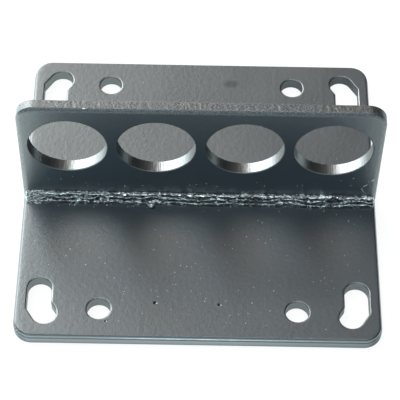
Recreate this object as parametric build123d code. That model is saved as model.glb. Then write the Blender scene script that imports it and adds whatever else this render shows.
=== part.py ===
from build123d import *
import math
import os

# Engine lift plate: a flat base plate that bolts down on a carburettor flange, and an upright plate with
# a row of lifting holes, welded across the middle of the base. All sizes are in millimetres.
# The origin is the centre of the base plate's underside. +X runs along the upright, +Y to the rear, +Z up.

# Base plate: its outline follows the stud patterns, with a margin of metal outside the slots
base_thickness = 6.0
base_corner_r = 8.5
base_edge_r = 0.8
side_margin = 5.0
end_margin = 6.4

# Four dogleg slots, one near each corner, for flange studs on any rectangle between two patterns.
# The inner ends stand on the inner stud rectangle. From there each slot runs straight outwards along Y
# to a bend, and then turns towards the plate's centre line by the two steps below.
inner_stud_x = 142.8
inner_stud_y = 109.0
slot_width = 11.7
slot_run = 8.8
slot_turn_x = 2.7
slot_turn_y = 4.2

# Four round stud holes, on a rectangle of their own
round_stud_x = 88.9
round_stud_y = 129.8
round_stud_d = 11.2

# Upright plate: as wide as the base, with as many lifting holes as fit side by side
lift_thickness = 6.0
lift_corner_r = 8.5
lift_edge_r = 1.3
lift_hole_d = 35.7
least_land = 3.0
foot_web = 20.0
top_web = 8.5

# Fillet welds along both feet of the upright
weld_leg = 4.3
weld_crown = 0.09
ripple_pitch = 3.6
ripple_height = 0.32
wander_length = 47.0
wander_height = 0.22

# Places and sizes that follow from the values above
slot_bend_y = inner_stud_y / 2 + slot_run
slot_end_x = inner_stud_x / 2 - slot_turn_x
slot_end_y = slot_bend_y + slot_turn_y
reach_x = inner_stud_x / 2 + slot_width / 2
reach_y = max(slot_end_y + slot_width / 2, round_stud_y / 2 + round_stud_d / 2)
base_width = 2 * (reach_x + side_margin)
base_depth = 2 * (reach_y + end_margin)

foot_z = base_thickness
lift_width = base_width
lift_height = foot_web + lift_hole_d + top_web
lift_face_y = lift_thickness / 2
hole_count = int((lift_width - least_land) / (lift_hole_d + least_land))
land = (lift_width - hole_count * lift_hole_d) / (hole_count + 1)
hole_pitch = lift_hole_d + land
hole_z = foot_z + foot_web + lift_hole_d / 2

weld_length = base_width - 2 * base_edge_r
ripples = round(weld_length / ripple_pitch)


def dogleg_slot(side_x, side_y):
    """One corner slot as a flat face: two straight runs, mitred at the bend, with a round end on each."""
    half = slot_width / 2
    inner = Vector(side_x * inner_stud_x / 2, side_y * inner_stud_y / 2)
    bend = Vector(side_x * inner_stud_x / 2, side_y * slot_bend_y)
    outer = Vector(side_x * slot_end_x, side_y * slot_end_y)
    run = (bend - inner).normalized()
    turn = (outer - bend).normalized()
    beside_run = Vector(-run.Y, run.X) * half
    beside_turn = Vector(-turn.Y, turn.X) * half
    mitre = (beside_run + beside_turn) / (1 + run.dot(turn))
    outline = [
        Line(inner + beside_run, bend + mitre),
        Line(bend + mitre, outer + beside_turn),
        ThreePointArc(outer + beside_turn, outer + turn * half, outer - beside_turn),
        Line(outer - beside_turn, bend - mitre),
        Line(bend - mitre, inner - beside_run),
        ThreePointArc(inner - beside_run, inner - run * half, inner + beside_run),
    ]
    return make_face(outline)


def base_plate():
    """The flat plate with round corners, edges rolled all round, four stud holes and four dogleg slots."""
    plate = extrude(RectangleRounded(base_width, base_depth, base_corner_r), base_thickness)
    faces = plate.faces().sort_by(Axis.Z)
    rims = faces[0].edges() + faces[-1].edges()
    plate = fillet(rims, min(base_edge_r, 0.45 * base_thickness))
    for place in GridLocations(round_stud_x, round_stud_y, 2, 2):
        plate -= extrude(place * Circle(round_stud_d / 2), base_thickness)
    for side_x in (-1, 1):
        for side_y in (-1, 1):
            plate -= extrude(dogleg_slot(side_x, side_y), base_thickness, dir=(0, 0, 1))
    return plate


def lift_plate():
    """The upright, standing on the base: its top corners are round, and its free edges are rolled over."""
    blank = Pos(0, lift_height / 2) * Rectangle(lift_width, lift_height)
    blank = fillet(blank.vertices().group_by(Axis.Y)[-1], lift_corner_r)
    plate = extrude(Plane.XZ.offset(-lift_face_y) * Pos(0, foot_z) * blank, lift_thickness)
    edges = plate.faces().filter_by(Axis.Y).edges()
    free = [edge for edge in edges if edge.center().Z > foot_z + 1e-3]
    plate = fillet(free, min(lift_edge_r, 0.45 * lift_thickness))
    first_x = -(hole_count - 1) * hole_pitch / 2
    for index in range(hole_count):
        place = Pos(first_x + index * hole_pitch, 0, hole_z) * Rot(90, 0, 0)
        plate -= place * Cylinder(lift_hole_d / 2, 2 * lift_thickness)
    return plate


def bead_leg(distance, phase):
    """The bead's leg at a distance along its run: a slow wander, and a whole number of ripples."""
    wander = wander_height * math.sin(2 * math.pi * distance / wander_length + phase)
    ripple = ripple_height * math.cos(2 * math.pi * ripples * distance / weld_length)
    return weld_leg + wander + ripple


def bead_section(side_y, distance, phase):
    """The bead's cross-section at one station: a square root in the corner and a crowned free face."""
    leg = bead_leg(distance, phase)
    points = [(0, 0), (leg, 0)]
    for angle in (math.radians(30), math.radians(60)):
        reach = leg * (1 / (math.cos(angle) + math.sin(angle)) + weld_crown)
        points.append((reach * math.cos(angle), reach * math.sin(angle)))
    points.append((0, leg))
    x = distance - weld_length / 2
    corners = [(x, side_y * (lift_face_y + out), foot_z + rise) for out, rise in points]
    return Wire.make_polygon(corners, close=True)


def weld_bead(side_y, phase):
    """A fillet weld along one foot of the upright, lofted through stations half a ripple apart."""
    spans = 2 * ripples
    stations = [weld_length * index / spans for index in range(spans + 1)]
    sections = [bead_section(side_y, distance, phase) for distance in stations]
    return Solid.make_loft(sections, ruled=True)


pieces = {
    "base_plate": base_plate(),
    "lift_plate": lift_plate(),
    "front_weld": weld_bead(-1, 0.0),
    "rear_weld": weld_bead(1, 2.0),
}

os.makedirs("parts", exist_ok=True)
for name, piece in pieces.items():
    piece.label = name
    export_step(piece, f"parts/{name}.step")
    size = piece.bounding_box().size
    print(f"{name}: {size.X:.2f} x {size.Y:.2f} x {size.Z:.2f} mm, {piece.volume / 1000:.2f} cm3")
print(f"{hole_count} lifting holes at a pitch of {hole_pitch:.2f} mm, {hole_z:.2f} mm above the underside")
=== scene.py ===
# %% [markdown]
# # Dressing an engine lift plate
#
# The object is a small steel weldment: a flat base plate that bolts down on a carburettor flange, an
# upright plate with a row of lifting holes, and a rough fillet weld along both feet of the upright. All
# of it wears one coat of semi-gloss, blue-black paint.
#
# The CAD model comes in as a fixed frame. Its plates have the right sizes, but their hole rims are
# sharp and their cut faces are perfectly smooth. This lesson builds new skins for all four pieces in
# the same place, with rolled edges, torn cut faces, a real weld bead and small flaws in the paint.

# %% Load the frame
import math

import bmesh
import bpy
import numpy as np
from mathutils import Matrix, Vector


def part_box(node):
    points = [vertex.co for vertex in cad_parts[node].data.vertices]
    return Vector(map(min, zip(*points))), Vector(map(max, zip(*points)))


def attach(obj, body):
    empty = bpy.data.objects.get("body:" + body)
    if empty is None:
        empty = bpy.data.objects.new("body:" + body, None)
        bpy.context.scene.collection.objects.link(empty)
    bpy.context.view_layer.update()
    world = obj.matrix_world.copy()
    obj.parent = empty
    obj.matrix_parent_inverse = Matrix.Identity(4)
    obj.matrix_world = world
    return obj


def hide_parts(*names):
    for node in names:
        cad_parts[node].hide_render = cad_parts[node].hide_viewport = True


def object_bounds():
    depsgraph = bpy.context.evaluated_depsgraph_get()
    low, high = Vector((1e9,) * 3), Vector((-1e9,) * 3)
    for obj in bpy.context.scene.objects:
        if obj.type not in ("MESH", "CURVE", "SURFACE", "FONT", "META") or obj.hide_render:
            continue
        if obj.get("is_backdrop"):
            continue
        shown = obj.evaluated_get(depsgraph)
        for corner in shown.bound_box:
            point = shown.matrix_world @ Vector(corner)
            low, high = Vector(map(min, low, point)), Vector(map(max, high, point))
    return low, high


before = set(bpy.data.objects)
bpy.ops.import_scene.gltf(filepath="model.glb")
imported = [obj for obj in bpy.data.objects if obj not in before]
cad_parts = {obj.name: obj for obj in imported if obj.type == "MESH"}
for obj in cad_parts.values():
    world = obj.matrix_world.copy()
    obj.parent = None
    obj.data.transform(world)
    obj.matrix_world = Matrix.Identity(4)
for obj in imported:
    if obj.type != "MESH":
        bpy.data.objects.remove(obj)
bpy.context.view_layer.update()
mm = 0.001

# %% [markdown]
# ## Sizes
#
# Each plate's outer size is read from its CAD node, so the skin always fits the solid. The slot and
# hole sizes can't be read from a box, so they are written here once, in millimetres, as the real
# object's drawing would give them.

# %% Read the plates' boxes
base_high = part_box("base_plate")[1] / mm
lift_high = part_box("lift_plate")[1] / mm
half_width = base_high.x
half_depth = base_high.y
base_top = base_high.z
lift_top = lift_high.z
lift_face = lift_high.y
print(f"base {2 * half_width:.1f} x {2 * half_depth:.1f} x {base_top:.1f} mm")
print(f"upright {lift_top - base_top:.1f} mm tall and {2 * lift_face:.1f} mm thick")

# %% Hole and slot sizes
stud_x = 44.45
stud_y = 64.9
stud_radius = 5.6
slot_inner = np.array([71.4, 54.5])
slot_bend = np.array([71.4, 63.3])
slot_outer = np.array([68.7, 67.5])
slot_half = 5.85
lift_hole_radius = 17.85
lift_hole_z = 43.85
lift_pitch = 40.04

# %% [markdown]
# ## Surfaces as grids
#
# Every skin here is a grid of points: rows in one direction and columns in the other. Two neighbouring
# rows and two neighbouring columns make one four-sided face. The points come from formulas on whole
# arrays, which is quick and keeps the shape exact.
#
# A piece is made of several such patches. Where two patches meet they share the same points, so merging
# points that lie on top of each other closes the seams, and the piece becomes one watertight skin.

# %% Turn patches into one closed piece
def quads(rows, columns, wrap):
    """The four corner numbers of each face of a grid. wrap joins the last column to the first."""
    across = np.arange(columns if wrap else columns - 1)[None, :]
    start = np.arange(rows - 1)[:, None] * columns
    here = start + across
    beside = start + (across + 1) % columns
    return np.stack([here, beside, beside + columns, here + columns], axis=-1).reshape(-1, 4)


def make_piece(name, patches, finishes, glint_share=None):
    """A mesh object from patches of (points, wrap, smooth, finish number), points in millimetres.

    If glint_share is given, it holds one value for each point, the share of painted glint, and the finishes
    can read it by that name.
    """
    points, faces, smooth, numbers = [], [], [], []
    count = 0
    for grid, wrap, is_smooth, number in patches:
        cells = quads(grid.shape[0], grid.shape[1], wrap)
        points.append(grid.reshape(-1, 3))
        faces.append(cells + count)
        smooth.append(np.full(len(cells), is_smooth))
        numbers.append(np.full(len(cells), number))
        count += grid.shape[0] * grid.shape[1]
    faces = np.concatenate(faces)
    mesh = bpy.data.meshes.new(name)
    mesh.vertices.add(count)
    mesh.vertices.foreach_set("co", (np.concatenate(points) * mm).ravel())
    mesh.loops.add(faces.size)
    mesh.loops.foreach_set("vertex_index", faces.ravel())
    mesh.polygons.add(len(faces))
    mesh.polygons.foreach_set("loop_start", np.arange(0, faces.size, 4))
    mesh.polygons.foreach_set("use_smooth", np.concatenate(smooth))
    mesh.polygons.foreach_set("material_index", np.concatenate(numbers))
    mesh.update(calc_edges=True)
    if glint_share is not None:
        mesh.attributes.new("glint_share", "FLOAT", "POINT").data.foreach_set("value", glint_share.ravel())
    close_seams(mesh)
    piece = bpy.data.objects.new(name, mesh)
    bpy.context.scene.collection.objects.link(piece)
    for finish in finishes:
        mesh.materials.append(finish.material)
    print(f"{name}: {len(mesh.vertices)} points, {len(mesh.polygons)} faces")
    return piece


def close_seams(mesh):
    """Merges points that lie on each other, drops faces with no area, and turns all faces outwards."""
    shape = bmesh.new()
    shape.from_mesh(mesh)
    bmesh.ops.remove_doubles(shape, verts=shape.verts, dist=1e-6)
    bmesh.ops.dissolve_degenerate(shape, edges=shape.edges, dist=1e-7)
    bmesh.ops.recalc_face_normals(shape, faces=shape.faces)
    open_edges = sum(not edge.is_manifold for edge in shape.edges)
    if open_edges:
        print(f"{mesh.name}: {open_edges} open edges")
    shape.to_mesh(mesh)
    shape.free()


# %% Seeded noise for rough surfaces
def rough(u, v, seed):
    """Smooth noise from -1 to 1: random heights on a unit lattice, eased between four neighbours."""
    heights = np.random.default_rng(seed).uniform(-1, 1, (128, 128))
    left = np.floor(u).astype(int)
    below = np.floor(v).astype(int)
    du = u - left
    dv = v - below
    du = du * du * (3 - 2 * du)
    dv = dv * dv * (3 - 2 * dv)
    low = heights[left % 128, below % 128] * (1 - du) + heights[(left + 1) % 128, below % 128] * du
    above = (below + 1) % 128
    high = heights[left % 128, above] * (1 - du) + heights[(left + 1) % 128, above] * du
    return low * (1 - dv) + high * dv


# %% [markdown]
# ## Outlines
#
# A plate's flat face is a rectangle with round corners and holes in it. It could be filled by a boolean
# or by a triangulation, but both leave long thin faces that shade badly. Here the face is laid out like
# floor tiles instead: each tile has one hole, and a ring of rows runs from the hole's edge out to the
# tile's border. Tiles share their border points, so they join without a seam.

# %% Steps along a side, and a tile's border
def steps(low, high, spacing):
    """Even steps from low to high, at about the spacing."""
    return np.linspace(low, high, max(2, round((high - low) / spacing) + 1))


def border(xs, ys):
    """The points round a tile, counter-clockwise from its lower left corner."""
    bottom = np.stack([xs[:-1], np.full(len(xs) - 1, ys[0])], axis=1)
    right = np.stack([np.full(len(ys) - 1, xs[-1]), ys[:-1]], axis=1)
    top = np.stack([xs[:0:-1], np.full(len(xs) - 1, ys[-1])], axis=1)
    left = np.stack([np.full(len(ys) - 1, xs[0]), ys[:0:-1]], axis=1)
    return np.concatenate([bottom, right, top, left])


# %% Round off the corners of an outline
def rounded(points, corner, radius, sides):
    """Moves side points within a radius of a corner on to its arc, and gives the outward directions.

    With dx and dy the distances from the corner along its two sides, the point goes to the angle
    45 degrees times (1 + (dx - dy) / radius) on the arc. Elsewhere the direction is the side's own.
    """
    corner = np.array(corner)
    out = np.where(np.abs(np.abs(points) - corner) < 1e-6, np.sign(points), 0.0)
    points = points.copy()
    for side in sides:
        side = np.array(side)
        gap = (corner * side - points) * side
        near = (gap.max(axis=1) < radius) & (gap.min(axis=1) < 1e-6) & (gap.min(axis=1) > -1e-6)
        angle = math.pi / 4 * (1 + (gap[:, 0] - gap[:, 1]) / radius)
        arc = np.stack([np.cos(angle), np.sin(angle)], axis=1) * side
        points = np.where(near[:, None], (corner - radius) * side + arc * radius, points)
        out = np.where(near[:, None], arc, out)
    return points, out


# %% The edge of a stud slot, seen from its middle
slot_middle = np.array([70.9, 61.0])


def slot_reach(direction, half):
    """How far it is from the slot's middle to its edge, in each direction.

    The edge is two straight runs, mitred at the bend, with a half circle round each end. It is laid
    out as one closed line, turned into angle and distance about the middle, and read by angle.
    """
    run = (slot_bend - slot_inner) / np.linalg.norm(slot_bend - slot_inner)
    turn = (slot_outer - slot_bend) / np.linalg.norm(slot_outer - slot_bend)
    beside_run = np.array([-run[1], run[0]]) * half
    beside_turn = np.array([-turn[1], turn[0]]) * half
    mitre = (beside_run + beside_turn) / (1 + run @ turn)
    share = np.linspace(0, 1, 90)[:, None]
    swing = share * math.pi
    outer_end = slot_outer + np.cos(swing) * beside_turn + np.sin(swing) * turn * half
    inner_end = slot_inner - np.cos(swing) * beside_run - np.sin(swing) * run * half
    left_run = (slot_inner + beside_run) * (1 - share) + (slot_bend + mitre) * share
    left_turn = (slot_bend + mitre) * (1 - share) + (slot_outer + beside_turn) * share
    right_turn = (slot_outer - beside_turn) * (1 - share) + (slot_bend - mitre) * share
    right_run = (slot_bend - mitre) * (1 - share) + (slot_inner - beside_run) * share
    line = np.concatenate([left_run, left_turn, outer_end, right_turn, right_run, inner_end])
    line = line - slot_middle
    angles = np.arctan2(line[:, 1], line[:, 0])
    wanted = np.arctan2(direction[:, 1], direction[:, 0])
    return np.interp(wanted, angles, np.hypot(line[:, 0], line[:, 1]), period=2 * math.pi)


print(f"slot is {2 * slot_reach(np.array([[1.0, 0.0]]), slot_half)[0]:.1f} mm across at its middle")


# %% Holes: where each one is and how far its edge reaches
def round_hole(middle, radius):
    """A hole's middle, and a function from direction and extra radius to the distance of its edge."""
    return np.array(middle), lambda direction, extra: np.full(len(direction), radius + extra)


def slot_hole(side_x, side_y):
    """One of the four slots, which are the same slot mirrored across the plate's two middle lines."""
    side = np.array([side_x, side_y])
    return slot_middle * side, lambda direction, extra: slot_reach(direction * side, slot_half + extra)


# %% A ring of rows from a hole out to its tile's border
def ring(edge, hole, rim):
    """Rows of points from the hole's rim to the border, closer together near the hole."""
    middle, reach = hole
    away = edge - middle
    length = np.linalg.norm(away, axis=1, keepdims=True)
    direction = away / length
    inner = reach(direction, rim)[:, None]
    share = np.linspace(0, 1, 7)[:, None, None] ** 1.5
    return middle + direction * (inner + (length - inner) * share)


def hole_wall(edge, hole, profile):
    """The hole's edge at every row of a profile of (extra radius, height), as flat points and heights."""
    middle, reach = hole
    away = edge - middle
    direction = away / np.linalg.norm(away, axis=1, keepdims=True)
    rows = [middle + direction * reach(direction, extra)[:, None] for extra in profile[:, 0]]
    heights = np.repeat(profile[:, 1][:, None], len(edge), axis=1)
    return np.stack(rows), heights


# %% Section of a hole's wall
def hole_section(radius, top, bottom, flat_rows):
    """A hole's wall in section: a quarter circle, a straight side, and a quarter circle.

    Rows are (extra radius, height). The extra radius is the rounding's own radius at each flat face,
    and shrinks to nothing on the straight side.
    """
    swing = np.linspace(0, math.pi / 2, 7)
    out = radius * np.sin(swing)
    drop = radius * (1 - np.cos(swing))
    side = np.linspace(top - radius, bottom + radius, flat_rows + 2)[1:-1]
    across = np.concatenate([out, np.full(flat_rows, radius), out[::-1]])
    height = np.concatenate([top - drop, side, bottom + drop[::-1]])
    return np.stack([radius - across, height], axis=1)


# %% [markdown]
# ## Finishes
#
# The paint is a dark blue-black enamel. Dipped and sprayed enamel is never quite flat: it has a fine
# orange peel, and soft clouds where it is a little thicker or duller. Both come from noise read in
# Object coordinates, so they stay put on the steel.
#
# The same paint lies on the flame-cut faces, where it is thinner and follows the torn steel below it,
# and on the weld. Each of these gets its own material, with its own roughness, relief and colour.

# %% Small makers for nodes
class Nodes:
    """The nodes of one material or of the world, with short calls for the ones that come up often."""

    def __init__(self, tree):
        self.tree = tree
        tree.nodes.clear()

    def node(self, kind, **settings):
        """A node of that kind, with its settings."""
        item = self.tree.nodes.new(kind)
        for key, value in settings.items():
            setattr(item, key, value)
        return item

    def put(self, value, socket):
        """Gives a socket a plain number, or joins a node's output to it."""
        if isinstance(value, float):
            socket.default_value = value
        else:
            self.tree.links.new(value, socket)

    def remap(self, value, low, high, new_low, new_high, curve="LINEAR"):
        """Stretches a value from one range to another, and holds it inside the new one."""
        mapper = self.node("ShaderNodeMapRange", interpolation_type=curve)
        names = ("From Min", "From Max", "To Min", "To Max")
        for name, number in zip(names, (low, high, new_low, new_high)):
            mapper.inputs[name].default_value = number
        self.put(value, mapper.inputs["Value"])
        return mapper.outputs["Result"]

    def ease(self, value, low, high, new_low, new_high):
        """The same, with a soft start and end."""
        return self.remap(value, low, high, new_low, new_high, "SMOOTHSTEP")

    def combine(self, operation, first, second=0.0):
        """One step of arithmetic."""
        item = self.node("ShaderNodeMath", operation=operation)
        self.put(first, item.inputs[0])
        self.put(second, item.inputs[1])
        return item.outputs[0]

    def product(self, first, *others):
        """Values multiplied together."""
        for value in others:
            first = self.combine("MULTIPLY", first, value)
        return first

    def both(self, first, second):
        """Two shaders together."""
        item = self.node("ShaderNodeAddShader")
        self.put(first, item.inputs[0])
        self.put(second, item.inputs[1])
        return item.outputs[0]

    def mix(self, share, first, second):
        """Two shaders in turn: the first where the share is 0, and the second where it is 1."""
        item = self.node("ShaderNodeMixShader")
        for value, socket in zip((share, first, second), item.inputs):
            self.put(value, socket)
        return item.outputs[0]


# %% A finish is a material with one shader and patterns at the object's own coordinates
class Finish(Nodes):
    """A material with one Principled shader."""

    def __init__(self, name):
        self.material = bpy.data.materials.new(name)
        self.material.use_nodes = True
        super().__init__(self.material.node_tree)
        self.shader = self.node("ShaderNodeBsdfPrincipled")
        self.output = self.node("ShaderNodeOutputMaterial")
        self.put(self.shader.outputs["BSDF"], self.output.inputs["Surface"])
        self.place = self.node("ShaderNodeTexCoord").outputs["Object"]

    def drive(self, name, value):
        """Gives one of the shader's sockets a number or a node's output."""
        self.put(value, self.shader.inputs[name])

    def stretched(self, scale):
        """The object's coordinates, multiplied by a scale along each axis."""
        stretch = self.node("ShaderNodeMapping")
        stretch.inputs["Scale"].default_value = scale
        self.put(self.place, stretch.inputs["Vector"])
        return stretch.outputs["Vector"]

    def noise(self, scale, detail, place=None):
        """A noise of that scale per metre."""
        texture = self.node("ShaderNodeTexNoise")
        texture.inputs["Scale"].default_value = scale
        texture.inputs["Detail"].default_value = detail
        self.put(self.place if place is None else place, texture.inputs["Vector"])
        return texture.outputs["Fac"]

    def colours(self, value, dark, light):
        """A colour between two, by a value from 0 to 1."""
        ramp = self.node("ShaderNodeValToRGB")
        ramp.color_ramp.elements[0].color = (*dark, 1)
        ramp.color_ramp.elements[1].color = (*light, 1)
        self.put(value, ramp.inputs["Fac"])
        return ramp.outputs["Color"]

    def relief(self, height, depth, below=None):
        """A bump of that depth in metres, laid over another one if given."""
        bump = self.node("ShaderNodeBump")
        bump.inputs["Strength"].default_value = 1.0
        bump.inputs["Distance"].default_value = depth
        self.put(height, bump.inputs["Height"])
        if below is not None:
            self.put(below, bump.inputs["Normal"])
        return bump.outputs["Normal"]


# %% The enamel on flat steel
paint_dark = (0.006, 0.018, 0.029)
paint_light = (0.010, 0.025, 0.038)
paint = Finish("blue_black_enamel")
clouds = paint.noise(38, 3)
peel = paint.noise(480, 2)
grain = paint.noise(1300, 2)
cloudy = paint.remap(clouds, 0.2, 0.8, 0, 1)
paint.drive("Base Color", paint.colours(cloudy, paint_dark, paint_light))
paint.drive("Roughness", paint.remap(clouds, 0.2, 0.8, 0.34, 0.40))
paint.drive("Normal", paint.relief(grain, 0.00003, paint.relief(peel, 0.00006)))
paint.drive("IOR", 2.3)

# %% [markdown]
# A thumb-sized smudge behind the upright has taken the gloss off the paint. It is an oval on the base,
# measured from its middle, and inside it the paint mirrors less.

# %% A dull smudge in the enamel
smudge_middle = (14.5 * mm, 67.0 * mm, 6.0 * mm)
smudge_reach = (4.5 * mm, 2.7 * mm, 10.0 * mm)
squash = paint.node("ShaderNodeMapping", vector_type="TEXTURE")
squash.inputs["Location"].default_value = smudge_middle
squash.inputs["Scale"].default_value = smudge_reach
paint.put(paint.place, squash.inputs["Vector"])
distance = paint.node("ShaderNodeVectorMath", operation="LENGTH")
paint.put(squash.outputs["Vector"], distance.inputs[0])
paint.drive("Specular IOR Level", paint.remap(distance.outputs["Value"], 0.5, 1.1, 0.32, 0.5))

# %% [markdown]
# On a flame-cut face the paint lies over flaked scale and torn steel. Two noises make it: a coarse one
# for the flakes, which are glossier or duller, and a finer one for the flecks, which are paler where
# the paint is thin on a sharp spot.

# %% The enamel over flame-cut faces
cut_dark = (0.006, 0.010, 0.013)
cut_light = (0.14, 0.15, 0.155)
cut = Finish("enamel_on_cut_edge")
flakes = cut.noise(900, 3)
flecks = cut.noise(1700, 2)
thin = cut.remap(flecks, 0.4, 0.7, 0, 1)
cut.drive("Base Color", cut.colours(thin, cut_dark, cut_light))
cut.drive("Roughness", cut.remap(flakes, 0.3, 0.7, 0.29, 0.42))
cut.drive("Normal", cut.relief(flecks, 0.00004, cut.relief(flakes, 0.00005)))
cut.drive("IOR", 2.1)

# %% [markdown]
# The walls of all holes carry fine streaks that the cut left across the plate. They are a noise that is
# stretched eight times along the lifting holes' axis. The paint lies thick in the holes and mirrors
# more than the paint on the flats.

# %% The enamel inside the holes
bore_dark = (0.008, 0.014, 0.018)
bore_light = (0.024, 0.028, 0.03)
bore = Finish("enamel_in_bores")
streaks = bore.noise(1300, 3, bore.stretched((1.0, 0.12, 1.0)))
pits = bore.noise(1100, 3)
pitted = bore.remap(pits, 0.45, 0.75, 0, 1)
bore.drive("Base Color", bore.colours(pitted, bore_dark, bore_light))
bore.drive("Roughness", bore.remap(streaks, 0.3, 0.7, 0.29, 0.37))
bore.drive("Normal", bore.relief(pits, 0.00002, bore.relief(streaks, 0.00010)))
bore.drive("IOR", 2.9)

# %% [markdown]
# On the weld, glints and shade are painted into the finish. Each bead carries a value from 0 to 1 that is
# high where a point stands out on the flank of a strand that faces up, and low in the crevices. A fine
# noise breaks the value up into specks, and by what is left the finish goes from black paint in the
# crevices, a painted shade, to pale metal on the crests, a painted glint.

# %% The enamel over the weld, with painted glints and painted shade
weld_dark = (0.006, 0.010, 0.014)
weld_glint_colour = (0.92, 0.97, 1.0)
weld = Finish("enamel_on_weld_painted_glints")
specks = weld.noise(1700, 3, weld.stretched((0.35, 1.0, 1.0)))
# Read the bead's glint share, which carries a painted glint and painted shade.
height = weld.node("ShaderNodeAttribute", attribute_name="glint_share").outputs["Fac"]
glint_spots = weld.product(height, weld.remap(specks, 0.42, 0.56, 0.1, 1.0))
# Painted glint: pale metal where the glint share is high. Painted shade: black paint in the crevices.
weld.drive("Base Color", weld.colours(glint_spots, weld_dark, weld_glint_colour))
weld.drive("Metallic", weld.remap(glint_spots, 0.2, 1.0, 0.0, 0.9))
weld.drive("Specular IOR Level", weld.remap(glint_spots, 0.0, 0.4, 0.15, 0.5))
weld.drive("Roughness", weld.remap(glint_spots, 0.0, 1.0, 0.36, 0.29))
weld.drive("Normal", weld.relief(specks, 0.00002))
weld.drive("IOR", 3.0)

# %% [markdown]
# A dull light grey. On the scratch strokes along the upright it is paint worn through to pale primer;
# on two of every three small nibs and beside each pinhole it is a painted glint.

# %% Worn spots and painted glints
worn_and_glint = Finish("primer_wear_and_painted_glint")
wear_and_glint = worn_and_glint.remap(worn_and_glint.noise(2600, 2), 0.3, 0.7, 0, 1)
worn_and_glint.drive("Base Color", worn_and_glint.colours(wear_and_glint, (0.4, 0.44, 0.45), (0.9, 0.95, 0.96)))
worn_and_glint.drive("Roughness", 0.45)

# %% [markdown]
# Just under the rolled edge of the base runs a narrow upright band. Along the middle of the front it
# carries a painted highlight: a pale, metallic colour that shines as a thin pale line. The highlight is
# strongest a little left of the middle and dies away towards the corners.

# %% The painted highlight line along the front edge
highlight_line = Finish("enamel_painted_highlight_line")
parts = highlight_line.node("ShaderNodeSeparateXYZ")
highlight_line.put(highlight_line.place, parts.inputs[0])
at_front = highlight_line.remap(parts.outputs[1], -79.0 * mm, -77.5 * mm, 1.0, 0.0)
from_left_end = highlight_line.remap(parts.outputs[0], -50 * mm, -22 * mm, 0.25, 1.0)
to_right_end = highlight_line.remap(parts.outputs[0], 15 * mm, 55 * mm, 1.0, 0.4)
highlight_share = highlight_line.remap(highlight_line.noise(300, 2), 0.3, 0.7, 0.44, 0.68)
highlight_share = highlight_line.product(highlight_share, at_front, from_left_end, to_right_end)
# Painted highlight: a pale metallic colour along the middle of the front band.
highlight_line.drive("Base Color", highlight_line.colours(highlight_share, paint_dark, (0.86, 0.92, 0.95)))
highlight_line.drive("Metallic", highlight_share)
highlight_line.drive("Roughness", 0.36)
highlight_line.drive("IOR", 2.3)

# %% [markdown]
# A pinhole is a spot where the wet paint drew back from a speck of dirt. Its inside is painted nearly
# black with no gloss, a painted shade in the dip, so it gives back almost no light from any side.

# %% The bottoms of pinholes, in painted shade
pinhole_shade_dark = (0.002, 0.003, 0.004)
pinhole_shade_light = (0.012, 0.015, 0.017)
pinhole_shade = Finish("pinhole_painted_shade")
pinhole_shade.drive("Base Color", pinhole_shade.colours(pinhole_shade.noise(2200, 2), pinhole_shade_dark, pinhole_shade_light))
pinhole_shade.drive("Roughness", 0.6)
pinhole_shade.drive("Specular IOR Level", 0.1)
print("finishes:", [item.material.name for item in (paint, cut, bore, weld, worn_and_glint, highlight_line, pinhole_shade)])

# %% [markdown]
# ## The base plate
#
# The base is laid out in tiles: a slot in each corner tile, a round hole in the tile next to it, and
# plain grids between them. The outer edge is a profile carried round the plate: the section of a
# rolled edge, swept along the border of the flat face. Each hole gets a wall in the same way, with a
# small round on both rims, because paint never stays on a sharp one, and a film of paint that makes the
# hole a little narrower.
#
# The tiles are smooth-shaded, because the flat isn't quite flat: close to its left edge the top sinks by
# a hair, where the shear pulled it down, and that strip catches the light.

# %% Tiles of the base
base_corner = 8.5
base_roll = 1.3
base_drop = 1.2
flat_corner = (half_width - base_roll, half_depth - base_roll)
corner_signs = [(-1, -1), (1, -1), (1, 1), (-1, 1)]
x_breaks = [-flat_corner[0], -56.5, -32.0, 32.0, 56.5, flat_corner[0]]
base_columns = [steps(low, high, 0.8) for low, high in zip(x_breaks[:-1], x_breaks[1:])]
base_rows = [
    steps(-flat_corner[1], -41.0, 0.8),
    steps(-41.0, 41.0, 6.0),
    steps(41.0, flat_corner[1], 0.8),
]
all_columns = np.unique(np.concatenate(base_columns).round(9))
all_rows = np.unique(np.concatenate(base_rows).round(9))


# %% [markdown]
# A shear bends the plate's top edge over before it cuts, so the section starts with a quarter of an
# ellipse, a little higher than it is wide. A narrow upright band follows, which the blade left smooth.
# Two thirds of the way up the side, a small ledge leads out to the lower zone, where the steel broke
# away and stands out a little more. The foot is slightly round.

# %% Section of the base's outer edge
ledge = 0.38
ledge_high = 3.95
ledge_blend = 0.07
foot_round = 0.5
swing = np.linspace(0, math.pi / 2, 14)
top_out = (base_roll - ledge) * np.sin(swing)
top_curve = np.stack([top_out, base_top - base_drop * (1 - np.cos(swing))], axis=1)
side_height = np.linspace(base_top - base_drop, foot_round, 26)[1:-1]
lower_zone = 1 / (1 + np.exp((side_height - ledge_high) / ledge_blend))
side_line = np.stack([base_roll - ledge * (1 - lower_zone), side_height], axis=1)
swing = np.linspace(0, math.pi / 2, 5)
foot_out = base_roll - foot_round * (1 - np.cos(swing))
foot_curve = np.stack([foot_out, foot_round * (1 - np.sin(swing))], axis=1)
edge_profile = np.concatenate([top_curve, side_line, foot_curve, [[0.0, 0.0]]])
print(f"edge section: {len(edge_profile)} points")


# %% Put flat points at a height
droop = 0.12
droop_width = 5.0


def on_level(flat, height):
    """Flat points at a height, as points in space. Towards the left edge the top sinks by a parabola."""
    near_left = np.clip((-flat[..., 0] - (half_width - droop_width)) / droop_width, 0, 1)
    sunk = droop * near_left ** 2
    height = height - sunk * np.clip(height / base_top, 0, 1)
    return np.concatenate([flat, height[..., None]], axis=-1)


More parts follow.
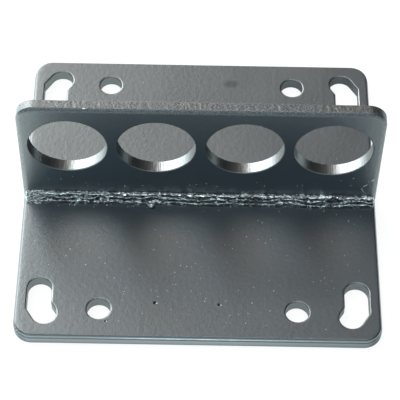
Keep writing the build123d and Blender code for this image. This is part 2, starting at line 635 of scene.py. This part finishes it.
# %% Lay the flat faces and the hole walls
film = 0.3
hole_rim = 0.55
wall_profile = hole_section(hole_rim, base_top, 0.0, 4)
wall_profile[:, 0] -= film
patches = []
for row, side_y in ((0, -1), (1, 0), (2, 1)):
    for column, xs in enumerate(base_columns):
        ys = base_rows[row]
        hole = None
        if side_y and column in (0, 4):
            hole = slot_hole(-1 if column == 0 else 1, side_y)
        if side_y and column in (1, 3):
            hole = round_hole((stud_x * (-1 if column == 1 else 1), stud_y * side_y), stud_radius)
        if hole is None:
            tile = np.stack(np.meshgrid(xs, ys), axis=-1)
        else:
            edge = rounded(border(xs, ys), flat_corner, base_corner - base_roll, corner_signs)[0]
            tile = ring(edge, hole, hole_rim - film)
            wall, heights = hole_wall(edge, hole, wall_profile)
            patches.append((on_level(wall, heights), True, True, 1))
        for level in (base_top, 0.0):
            patches.append((on_level(tile, level), hole is not None, True, 0))

# %% Carry the edge's section round the plate, with the painted highlight line on its upright band
path, out = rounded(border(all_columns, all_rows), flat_corner, base_corner - base_roll, corner_signs)
edge_out, edge_high = edge_profile.T
edge_flat = path[None] + out[None] * edge_out[:, None, None]
edge_points = on_level(edge_flat, edge_high[:, None])
band_low = ledge_high + 0.22
band_high = base_top - 0.8 * base_drop
band = np.flatnonzero((edge_high > band_low) & (edge_high < band_high))
patches.append((edge_points[:band[0] + 1], True, True, 0))
patches.append((edge_points[band[0]:band[-1] + 1], True, True, 2))
patches.append((edge_points[band[-1]:], True, True, 0))
base_skin = make_piece("base_plate_skin", patches, [paint, bore, highlight_line])

# %% [markdown]
# ## The upright plate
#
# The upright was cut by flame or plasma, and its long top edge shows it: fine drag lines run across
# the thickness every two millimetres or so, with torn flecks between them. Only the arrises are rolled
# over. The drag lines are a true relief on the edge's side, made by noise that is short along the edge
# and long across it, and it fades out where the edge meets the smooth faces.

# %% Tiles of the upright, in the plane of its faces
lift_corner = 8.5
lift_roll = 2.4
lift_drop = 1.2
lift_rim = 0.45
foot = base_top - 0.1
lift_flat = (half_width - lift_roll, lift_top - lift_roll)
lift_breaks = [-lift_flat[0], -lift_pitch, 0.0, lift_pitch, lift_flat[0]]
lift_columns = [steps(low, high, 0.4) for low, high in zip(lift_breaks[:-1], lift_breaks[1:])]
foot_line = 22.0
tile_rows = steps(foot_line, lift_flat[1], 0.5)
foot_rows = steps(foot, foot_line, 5.0)
every_column = np.unique(np.concatenate(lift_columns).round(9))
upper_signs = [(-1, 1), (1, 1)]


def standing(flat, depth):
    """Points (x, z) of the upright's plane at a depth y, as points in space."""
    depth = np.broadcast_to(depth, flat.shape[:-1])
    return np.stack([flat[..., 0], depth, flat[..., 1]], axis=-1)


# %% The two faces and the four bores
patches = []
bore_film = 0.12
bore_profile = hole_section(lift_rim, lift_face, -lift_face, 8)
bore_profile[:, 0] -= bore_film
for column, xs in enumerate(lift_columns):
    hole = round_hole(((column - 1.5) * lift_pitch, lift_hole_z), lift_hole_radius)
    edge = rounded(border(xs, tile_rows), lift_flat, lift_corner - lift_roll, upper_signs)[0]
    tile = ring(edge, hole, lift_rim - bore_film)
    wall, depths = hole_wall(edge, hole, bore_profile)
    patches.append((standing(wall, depths), True, True, 1))
    for face in (-lift_face, lift_face):
        patches.append((standing(tile, face), True, False, 0))
foot_tile = np.stack(np.meshgrid(every_column, foot_rows), axis=-1)
for face in (-lift_face, lift_face):
    patches.append((standing(foot_tile, face), False, False, 0))

# %% The edge: a path up one side, over the top and down the other
rise = np.concatenate([foot_rows[:-1], tile_rows])
left_side = np.stack([np.full(len(rise), -lift_flat[0]), rise], axis=1)
over = np.stack([every_column[1:-1], np.full(len(every_column) - 2, lift_flat[1])], axis=1)
right_side = np.stack([np.full(len(rise), lift_flat[0]), rise[::-1]], axis=1)
path, out = rounded(np.concatenate([left_side, over, right_side]), lift_flat, lift_corner - lift_roll,
                    upper_signs)
along = np.concatenate([[0], np.cumsum(np.linalg.norm(np.diff(path, axis=0), axis=1))])
print(f"the cut edge is {along[-1]:.0f} mm long")

# %% [markdown]
# The section runs from the front face to the back face. Each arris is a quarter of an ellipse that
# reaches further along the face than into the thickness, as a worn or ground arris does.

# %% Carry the section along the path, with drag lines in the cut face
swing = np.linspace(0, math.pi / 2, 11)
arris_out = lift_roll * np.sin(swing)
arris_depth = lift_face - lift_drop * (1 - np.cos(swing))
across_edge = np.linspace(-(lift_face - lift_drop), lift_face - lift_drop, 15)[1:-1]
straight = np.full(len(across_edge), lift_roll)
depth = np.concatenate([-arris_depth, across_edge, arris_depth[::-1]])[:, None]
reach_out = np.concatenate([arris_out, straight, arris_out[::-1]])[:, None]
cut_zone = np.clip((lift_face - 0.6 - np.abs(depth)) / 0.9, 0, 1)
lean = along[None] + 0.35 * depth
drag_height = 0.026
scratch_height = 0.022
fleck_height = 0.035
cut_sink = 0.05
drag = rough(lean / 0.9, depth / 6 + 40, 11) * drag_height
drag = drag + rough(lean / 0.42, depth / 1.6 + 9, 12) * scratch_height
fleck = rough(along[None] / 0.7 + 3, depth / 0.7 + 60, 13) * fleck_height
reach_out = reach_out + (drag + fleck - cut_sink) * cut_zone
edge_points = standing(path[None] + out[None] * reach_out[..., None], depth)
patches.append((edge_points, False, True, 2))

# %% Close the foot, which stands on the base
middle_row = len(depth) // 2
front_row = standing(foot_tile[0], -lift_face)
back_row = standing(foot_tile[0], lift_face)
left_end = edge_points[:, 0]
right_end = edge_points[:, -1]
front_path = np.concatenate([left_end[middle_row::-1], front_row[1:-1], right_end[:middle_row + 1]])
back_path = np.concatenate([left_end[middle_row:], back_row[1:-1], right_end[:middle_row - 1:-1]])
patches.append((np.stack([front_path, back_path]), False, False, 0))
lift_skin = make_piece("lift_plate_skin", patches, [paint, bore, cut])

# %% [markdown]
# ## The welds
#
# The weld was laid by hand in three overlapping runs, one above the other. Each run froze in small
# ripples, and droplets and crusts of slag stand on it. The skin is a section carried along the joint.
# The section's free face is a chord between the two toes, and what is added to it makes the look:
# three round strands, bowed ripples on each of them, and noise in several sizes. The toes wander, and
# the section shrinks to a point at both ends, which closes the bead.

# %% A bead as a function of the distance along it and across it
def weld_bead(side, seed):
    """Points of one bead: rows along the joint, columns round its section.

    The free face is the chord between the two toes, pushed out by the bulge. The glint share, a painted
    glint and shade, is 0 in the crevices between the strands and 1 on the flank that faces up, broken up
    by the same noises.
    """
    length = 2 * half_width - 1.2
    along = np.linspace(0, length, 720)[:, None]
    across = np.linspace(0, 1, 42)[None, :]
    flat = np.zeros_like(along + across)
    first = flat[:, :1]
    end_gap = np.minimum(along, length - along)
    rough_share = 0.35 + 0.65 * np.clip((along - 6) / 10, 0, 1)
    rough_share = rough_share * (0.4 + 0.6 * np.clip((length - 2 - along) / 3, 0, 1))

    leg_up = 4.35 + 0.25 * rough(along / 9, first, seed) + 0.10 * rough(along / 1.7, first, seed + 1)
    leg_out = 4.5 + 0.35 * rough(along / 8, first, seed + 2) + 0.22 * rough(along / 1.5, first, seed + 3)

    shift = 0.20 * rough(along / 6, across * 2 + flat, seed + 4)
    shift = shift + 0.04 * rough(along / 2.6, first, seed + 9)
    strand = 3 * np.clip(across + shift * np.sin(math.pi * across), 0, 1)
    number = np.clip(np.floor(strand), 0, 2)
    inside = strand - number
    crown = np.abs(np.sin(math.pi * inside)) ** 0.7

    bow = 1.1 * (inside - 0.5) ** 2
    wobble = 1.2 * rough(along / 3.1 + 7 * number, number * 3.7 + flat, seed + 5)
    ripple = 0.5 + 0.5 * np.cos(2 * math.pi * (along + bow + wobble + 0.6 * number) / 1.7)
    surge = rough(along / 3.4 + 11 * number, number * 5.1 + flat, seed + 8)
    lumps = rough(along / 2.2, across * 7 + flat, seed + 6)
    crust = rough(along / 1.5, across * 11 + flat, seed + 7)
    fine = rough(along / 0.6, across * 20 + flat, seed + 10)
    drops = np.clip(rough(along / 1.1, across * 5 + flat, seed + 12) - 0.5, 0, 1) * np.sin(math.pi * across)

    crumbs = np.clip((10 - along) / 4, 0, 1)
    crown = crown * (1 - 0.45 * crumbs)
    bulge = -0.3 * 4 * across * (1 - across) + (1.1 - 0.15 * number + 0.3 * surge) * crown
    torn = 0.05 * ripple + 0.3 * lumps + 0.5 * crust + 0.16 * fine + 1.0 * drops
    torn = rough_share * torn * (0.5 + 0.5 * crown) + 0.16 * crumbs * (fine + crust)
    bulge = bulge + torn * np.sin(math.pi * across) ** 0.5
    bulge = bulge * np.clip(np.minimum(across, 1 - across) / 0.07, 0, 1)

    out = leg_out * across + bulge * np.cos(math.pi / 2 * across)
    up = leg_up * (1 - across) + bulge * np.sin(math.pi / 2 * across)
    # The glint share: painted glint on each strand's up-facing flank, painted shade in the crevices; the
    # rear bead gets less.
    flank = np.exp(-((inside - 0.38) / 0.22) ** 2)
    glint_score = flank + 0.5 * crust + 0.5 * fine + 0.3 * surge + 0.2 * ripple
    glint_score = glint_score - 0.38 - 0.14 * along / length
    glint_share = np.clip(glint_score / 0.3, 0, 1) * (0.45 + 0.55 * rough_share)
    glint_share = glint_share * (1 - crumbs) + crumbs * np.clip(0.4 + 0.6 * fine + 0.3 * crust, 0, 1)
    glint_share = glint_share * (1.0 if side < 0 else 0.6)
    return side, along - length / 2, out, up, end_gap, glint_share


def bead_skin(side, x, out, up, end_gap, glint_share):
    """Closes each section behind the two faces of the corner, and shrinks it to a point at the ends."""
    glint_share = np.concatenate([glint_share, np.zeros((len(glint_share), 3))], axis=1)
    hidden_out = np.concatenate([out[:, -1:] * 0.9, out[:, :1] * 0 - 0.3, out[:, :1] * 0 - 0.3], axis=1)
    hidden_up = np.concatenate([up[:, :1] * 0 - 0.3, up[:, :1] * 0 - 0.3, up[:, :1] * 0.9], axis=1)
    out = np.concatenate([out, hidden_out], axis=1)
    up = np.concatenate([up, hidden_up], axis=1)
    close = np.sqrt(1 - (1 - np.clip(end_gap / 1.3, 0, 1)) ** 2)
    out = -0.3 + (out + 0.3) * close
    up = -0.3 + (up + 0.3) * close
    points = np.stack([np.broadcast_to(x, out.shape), side * (lift_face + out), base_top + up], axis=-1)
    return points, glint_share


points, glint_share = bead_skin(*weld_bead(-1, 21))
front_bead = make_piece("front_weld_bead", [(points, True, True, 0)], [weld], glint_share)
points, glint_share = bead_skin(*weld_bead(1, 57))
rear_bead = make_piece("rear_weld_bead", [(points, True, True, 0)], [weld], glint_share)

# %% [markdown]
# ## Spatter and flaws in the paint
#
# Welding throws droplets of steel, which freeze on the plates and are painted over. Dust under the
# paint makes smaller nibs. Both are low mounds: a squashed ball whose surface is pushed in and out by
# noise, half sunk in the steel. Where something rubbed along the upright, a row of worn mounds makes a
# scratch. Two of every three small nibs are pale, a painted glint. A pinhole is a low ring round a dip, in
# a nearly black finish that is painted shade, with a pale mound beside it that is a painted highlight.

# %% One mound, and a pinhole, as functions of angle and row
def mound(middle, size, seed):
    """A squashed ball. Its radius is 1 plus noise, times the half sizes along x, y and z."""
    polar = np.linspace(0, math.pi, 8)[:, None]
    turn = np.linspace(0, 2 * math.pi, 13)[None, :-1]
    swell = 1 + 0.22 * rough(2.2 * np.cos(turn) + 9, 2.2 * np.sin(turn) + 3 * polar, seed) * np.sin(polar)
    girth = np.sin(polar)
    ball = np.stack([girth * np.cos(turn), girth * np.sin(turn), np.cos(polar) + 0 * turn], axis=-1)
    return np.array(middle) + ball * swell[..., None] * np.array(size)


def lay(middle, size, seed, finish=0):
    """Adds one mound to the list of patches."""
    patches.append((mound(middle, size, seed), True, True, finish))


def pinhole(x, y, radius):
    """A ring of paint round a dip: height over distance from the middle, turned about the vertical."""
    share = np.array([0, 0.3, 0.6, 0.72, 0.82, 0.92, 1.0, 0.0])[:, None]
    height = np.array([0.02, 0.02, 0.08, 0.15, 0.17, 0.1, -0.05, -0.1])[:, None]
    turn = np.linspace(0, 2 * math.pi, 25)[None, :-1]
    reach = share * radius * (1 + 0.12 * np.sin(2 * turn + x))
    height = base_top + height + 0 * turn
    return np.stack([x + reach * np.cos(turn), y + reach * np.sin(turn), height], axis=-1)


# %% Place the nibs on the base: the larger ones listed, the small ones in random clusters
random = np.random.default_rng(5)
nib_count = 420
cluster_size = 6
patches = []
for x, y, size in (
    (-43.0, -12.4, 0.34), (-42.4, -14.1, 0.38), (-70.5, -24.3, 0.3), (-67.7, -32.1, 0.3),
    (-16.4, -68.3, 0.34), (68.8, -38.1, 0.42), (50.8, -35.2, 0.3), (55.0, -31.8, 0.3),
    (2.3, -70.5, 0.3), (5.0, -65.8, 0.3), (5.0, -73.6, 0.34),
):
    lay((x, y, base_top), (size, size, 0.6 * size), 3)
for index in range(nib_count):
    if index % cluster_size == 0:
        cluster = random.uniform((-74, -74), (76, -14)) * (1, 1 if index % 36 else -1)
    x, y = cluster + random.normal(0, 6, 2)
    size = 0.09 + 0.18 * random.uniform() ** 2
    on_base = abs(x) < 76 and 12 < abs(y) < 75
    in_slot = abs(abs(x) - 71) < 9 and abs(y) > 45
    in_hole = abs(abs(x) - stud_x) < 8 and abs(y) > 56
    if on_base and not in_slot and not in_hole:
        # Two of every three small nibs take the pale finish: a painted glint.
        lay((x, y, base_top), (size, size, 0.8 * size), index, min(index % 3, 1))

# %% A scratch in three strokes on the upright's front, and small nibs round it
for start, end, bow, size, count in (
    ((80.0, 22.8), (79.3, 21.7), 0.0, 0.30, 4),
    ((77.3, 18.7), (75.8, 17.4), 0.0, 0.22, 7),
    ((75.2, 16.4), (76.9, 12.2), -0.6, 0.10, 18),
):
    for share in np.linspace(0, 1, count):
        x, z = np.array(start) * (1 - share) + np.array(end) * share
        x = x + 4 * bow * share * (1 - share)
        lay((x, -lift_face, z), (size, 0.1, size), 9, 1)
lay((-34.8, -lift_face, 14.6), (0.38, 0.12, 0.3), 9, 1)
for index in range(30):
    x, z = random.uniform((-78, 13), (78, 24))
    size = random.uniform(0.12, 0.25)
    # Two of every three nibs on the upright take the pale finish: a painted glint.
    lay((x, -lift_face, z), (size, 0.5 * size, size), index + 200, min(index % 3, 1))

# %% Pinholes with a pale painted highlight beside each, and three small burrs on the front left corner
for x, y, radius in ((-19.5, -61.3, 0.75), (9.3, -61.8, 0.7), (-41.2, -71.4, 0.45)):
    patches.append((pinhole(x, y, radius), True, True, 2))
    # A pale mound beside the pinhole: a painted highlight.
    lay((x + 1.3 * radius, y - 0.4 * radius, base_top), (0.42, 0.38, 0.12), 7, 1)
for x, y, z, size in ((-80.4, -75.6, 5.4, 0.8), (-79.3, -77.0, 5.4, 0.6), (-81.2, -73.9, 5.4, 0.5)):
    lay((x, y, z), (size, 0.35, 0.3), 12)
print(f"{len(patches)} nibs, strokes, pinholes and burrs")
nibs = make_piece("paint_nibs", patches, [paint, worn_and_glint, pinhole_shade])

# %% [markdown]
# Most of the spatter lies close to the beads, and fewer droplets flew further, so their distance is
# drawn from an exponential law. Each droplet's upper rows have a high glint share, so its top carries a
# painted glint.

# %% Place the weld spatter
patches = []
lay((-22.6, -7.9, base_top + 0.4), (2.1, 1.6, 1.3), 4)
lay((-58.2, -8.1, base_top), (0.5, 0.6, 0.45), 5)
lay((-43.2, -8.0, base_top), (0.6, 0.5, 0.45), 6)
lay((-51.0, -2.35, lift_top - 0.3), (1.3, 0.35, 0.42), 8)
for index in range(46):
    side = -1 if index % 2 == 0 else 1
    x = random.uniform(-79, 79)
    y = side * (7.6 + random.exponential(1.6))
    size = random.uniform(0.12, 0.34)
    lay((x, y, base_top), (size, size, 0.7 * size), index + 300)
for index in range(24):
    side = -1 if index % 2 == 0 else 1
    x = random.uniform(-79, 79)
    z = base_top + 4.4 + random.exponential(1.3)
    size = random.uniform(0.12, 0.3)
    lay((x, side * lift_face, z), (size, 0.6 * size, size), index + 400)
# Painted glint on the upper rows of each droplet.
glint_on_top = np.clip(1.4 - 0.45 * np.arange(8), 0, 1)[:, None] * np.ones((1, 12))
glint_share = np.concatenate([glint_on_top.ravel()] * len(patches))
print(f"{len(patches)} droplets")
spatter = make_piece("weld_spatter", patches, [weld], glint_share)

# %% [markdown]
# ## Joining the skins to the CAD frame
#
# Every piece rides on the frame's one body. The four skins stand for the four CAD solids, which are then
# hidden.

# %% Ride on the body and hide the CAD solids
for piece, node_name, slot_name in (
    (base_skin, "base_plate", "paint"),
    (lift_skin, "lift_plate", "paint"),
    (front_bead, "front_weld", "weld"),
    (rear_bead, "rear_weld", "weld"),
):
    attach(piece, "root")
    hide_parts(node_name)
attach(nibs, "root")
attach(spatter, "root")

# %% [markdown]
# ## Floor
#
# The object stands on a white table. The floor is white to the camera by Light Path, and a thin share
# of it is lit by the scene, so the plate keeps a faint shadow. In reflections the table glows white too,
# and that glow carries painted light and shade set by place: it is brightest on the left, a painted
# shadow dims it under the plate, painted shade darkens it towards the rear right of the room, and a few
# centimetres in front of the plate it turns to a dim blue-grey of painted shade. For all other rays it is
# a plain pale surface that gives back the light that falls on it.

# %% The table's finish: how white it is in a reflection, by place, with painted light, shadow and shade
table = Finish("white_table")
table.tree.nodes.remove(table.shader)
ease = table.ease
combine = table.combine
spot = table.node("ShaderNodeSeparateXYZ")
table.put(table.place, spot.inputs[0])
beyond_side = combine("SUBTRACT", combine("ABSOLUTE", spot.outputs[0]), half_width * mm)
beyond_end = combine("SUBTRACT", combine("ABSOLUTE", spot.outputs[1]), half_depth * mm)
# Painted shadow: under the plate the glow drops to about a third.
in_the_open = ease(combine("MAXIMUM", beyond_side, beyond_end), -0.0004, 0.0016, 0.34, 1.0)
# Painted light on the left and painted shade towards the rear right.
from_left = ease(spot.outputs[0], 0.0, 0.12, 1.6, 0.8)
from_left = combine("ADD", from_left, ease(spot.outputs[0], -0.17, -0.09, 0.9, 0.0))
on_right = ease(spot.outputs[0], -0.02, 0.08, 0.0, 1.0)
rear_right = table.product(on_right, ease(spot.outputs[1], 0.0, 0.05, 0.0, 1.0))
# Painted shade: a dim blue-grey band a few centimetres in front of the plate.
near_plate = ease(spot.outputs[1], -0.115, -0.085, 0.0, 1.0)
white_share = table.product(in_the_open, from_left, ease(rear_right, 0.0, 1.0, 1.0, 0.25))

# %% The table's finish: one part for the camera, one for reflections and one for the rest
def pale(colour):
    """A plain surface that gives back the light that falls on it."""
    item = table.node("ShaderNodeBsdfDiffuse")
    item.inputs["Color"].default_value = (*colour, 1)
    return item.outputs[0]


def glowing(colour, strength):
    """A surface of one steady colour."""
    item = table.node("ShaderNodeEmission")
    item.inputs["Color"].default_value = (*colour, 1)
    table.put(strength, item.inputs["Strength"])
    return item.outputs[0]


rays = table.node("ShaderNodeLightPath")
mirrored = combine("MAXIMUM", rays.outputs["Is Glossy Ray"], rays.outputs["Is Transmission Ray"])
in_mirrors = table.both(glowing((0.88, 1.0, 1.0), white_share), pale((0.56, 0.62, 0.63)))
in_mirrors = table.mix(near_plate, glowing((0.55, 0.68, 0.74), 1.0), in_mirrors)
on_camera = table.both(glowing((1.0, 1.0, 1.0), 0.9), pale((0.18, 0.18, 0.18)))
to_others = table.mix(mirrored, pale((0.8, 0.8, 0.8)), in_mirrors)
seen = table.mix(rays.outputs["Is Camera Ray"], to_others, on_camera)
table.put(seen, table.output.inputs["Surface"])

# %% A round table top, whose rim is its only open edge
floor_radius = 900.0
floor_level = -0.05
turn = np.linspace(0, 2 * math.pi, 65)[None, :-1]
share = np.array([0.0, 0.2, 0.5, 1.0])[:, None]
disc_x = share * floor_radius * np.cos(turn)
disc_y = share * floor_radius * np.sin(turn)
disc = np.stack([disc_x, disc_y, floor_level + 0 * disc_x], axis=-1)
floor = make_piece("floor", [(disc, True, False, 0)], [table])
floor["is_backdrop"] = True

# %% [markdown]
# ## Light
#
# The studio has one very large soft light behind the object and to its left, and a dim room on its
# right. That is what shapes dark gloss paint: flat steel mirrors a little of the big light's edge, and
# grows darker towards the right, while every rolled edge that leans left lights up. Three weaker lights
# help it. The room behind is warm and tints the flats. A patch overhead and a low band in front draw
# the pale lines along the rolled edges, and a faint cold light in front tints the upright's face. All of
# it is drawn in the world as a function of direction, so it is soft, far away and free of noise.

# %% The world's directions
world = bpy.data.worlds.new("studio")
bpy.context.scene.world = world
world.use_nodes = True
studio = Nodes(world.node_tree)
ease = studio.ease
product = studio.product
parts = studio.node("ShaderNodeSeparateXYZ")
studio.put(studio.node("ShaderNodeTexCoord").outputs["Generated"], parts.inputs[0])
east, north, high = parts.outputs


def sky(level, colour):
    """Light of one colour whose strength is a value."""
    item = studio.node("ShaderNodeBackground")
    item.inputs["Color"].default_value = (*colour, 1)
    studio.put(level, item.inputs["Strength"])
    return item.outputs[0]


# %% The big soft light
soft_strength = 6.3
light_shape = product(
    ease(east, -0.26, -0.12, 1.0, 0.0),
    ease(high, -0.1, 0.0, 0.0, 1.0),
    ease(high, 0.2, 0.65, 0.9, 1.0),
    ease(north, 0.2, 0.45, 0.0, 1.0),
    ease(east, -0.8, -0.3, 0.9, 1.0),
)
soft_light = sky(product(light_shape, soft_strength), (0.86, 0.98, 1.0))

# %% The room behind, overhead and in front
side = ease(east, -0.15, 0.26, 1.0, 0.06)
behind = product(
    side,
    ease(high, 0.74, 0.82, 1.22, 0.36),
    ease(high, 0.3, 0.7, 0.15, 1.0),
    ease(north, 0.1, 0.4, 0.3, 1.0),
)
room_behind = sky(behind, (1.0, 0.76, 0.58))
overhead = product(
    ease(high, 0.92, 0.97, 0.0, 3.3),
    ease(north, 0.05, 0.2, 1.0, 0.1),
    ease(north, -0.32, -0.16, 0.1, 1.0),
)
overhead_light = sky(overhead, (0.95, 0.99, 1.0))
in_front = product(ease(north, -0.5, 0.2, 0.30, 0.0), side)
room_in_front = sky(in_front, (0.20, 0.95, 1.28))
low_front = product(
    ease(high, 0.02, 0.2, 0.0, 1.0),
    ease(high, 0.58, 0.70, 1.0, 0.0),
    ease(north, -0.72, -0.55, 1.0, 0.0),
    ease(east, -0.2, 0.2, 1.2, 0.6),
)
light_in_front = sky(low_front, (0.88, 0.98, 1.0))

# %% All lights together, and white behind everything for the camera alone
lit = studio.both(soft_light, overhead_light)
for light in (room_behind, room_in_front, light_in_front):
    lit = studio.both(lit, light)
rays = studio.node("ShaderNodeLightPath")
seen = studio.mix(rays.outputs["Is Camera Ray"], lit, sky(1.0, (1, 1, 1)))
studio.put(seen, studio.node("ShaderNodeOutputWorld").inputs["Surface"])
print(f"the studio has {len(world.node_tree.nodes)} nodes")
bpy.context.scene.view_settings.view_transform = "Standard"

# %% [markdown]
# ## Camera
#
# The camera looks down on the front of the plate from about 80 centimetres away. Its place, its three
# angles and its lens were worked out by fitting the edges and holes of the part to where they lie in
# the picture. A long lens keeps the perspective mild.

# %% Set the camera
picture_width = 400
focal_points = 1685.33
camera_place = Vector((-1.705, -468.060, 643.646)) * mm
yaw, pitch, roll_angle = (math.radians(angle) for angle in (0.230, -53.955, 1.168))
forward = Vector((math.sin(yaw) * math.cos(pitch), math.cos(yaw) * math.cos(pitch), math.sin(pitch)))
level = Vector((math.cos(yaw), -math.sin(yaw), 0))
above = level.cross(forward)
right = level * math.cos(roll_angle) + above * math.sin(roll_angle)
up = above * math.cos(roll_angle) - level * math.sin(roll_angle)
turned = Matrix((right, up, -forward)).transposed().to_4x4()
lens = bpy.data.cameras.new("camera")
lens.sensor_width = 36.0
lens.lens = focal_points / picture_width * lens.sensor_width
lens.clip_start = 0.01
camera = bpy.data.objects.new("camera", lens)
bpy.context.scene.collection.objects.link(camera)
camera.matrix_world = Matrix.Translation(camera_place) @ turned
bpy.context.scene.camera = camera
print(f"camera {camera_place.length:.2f} m away, lens {lens.lens:.1f} mm")

# %% Measure the box round everything that is shown
low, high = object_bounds()
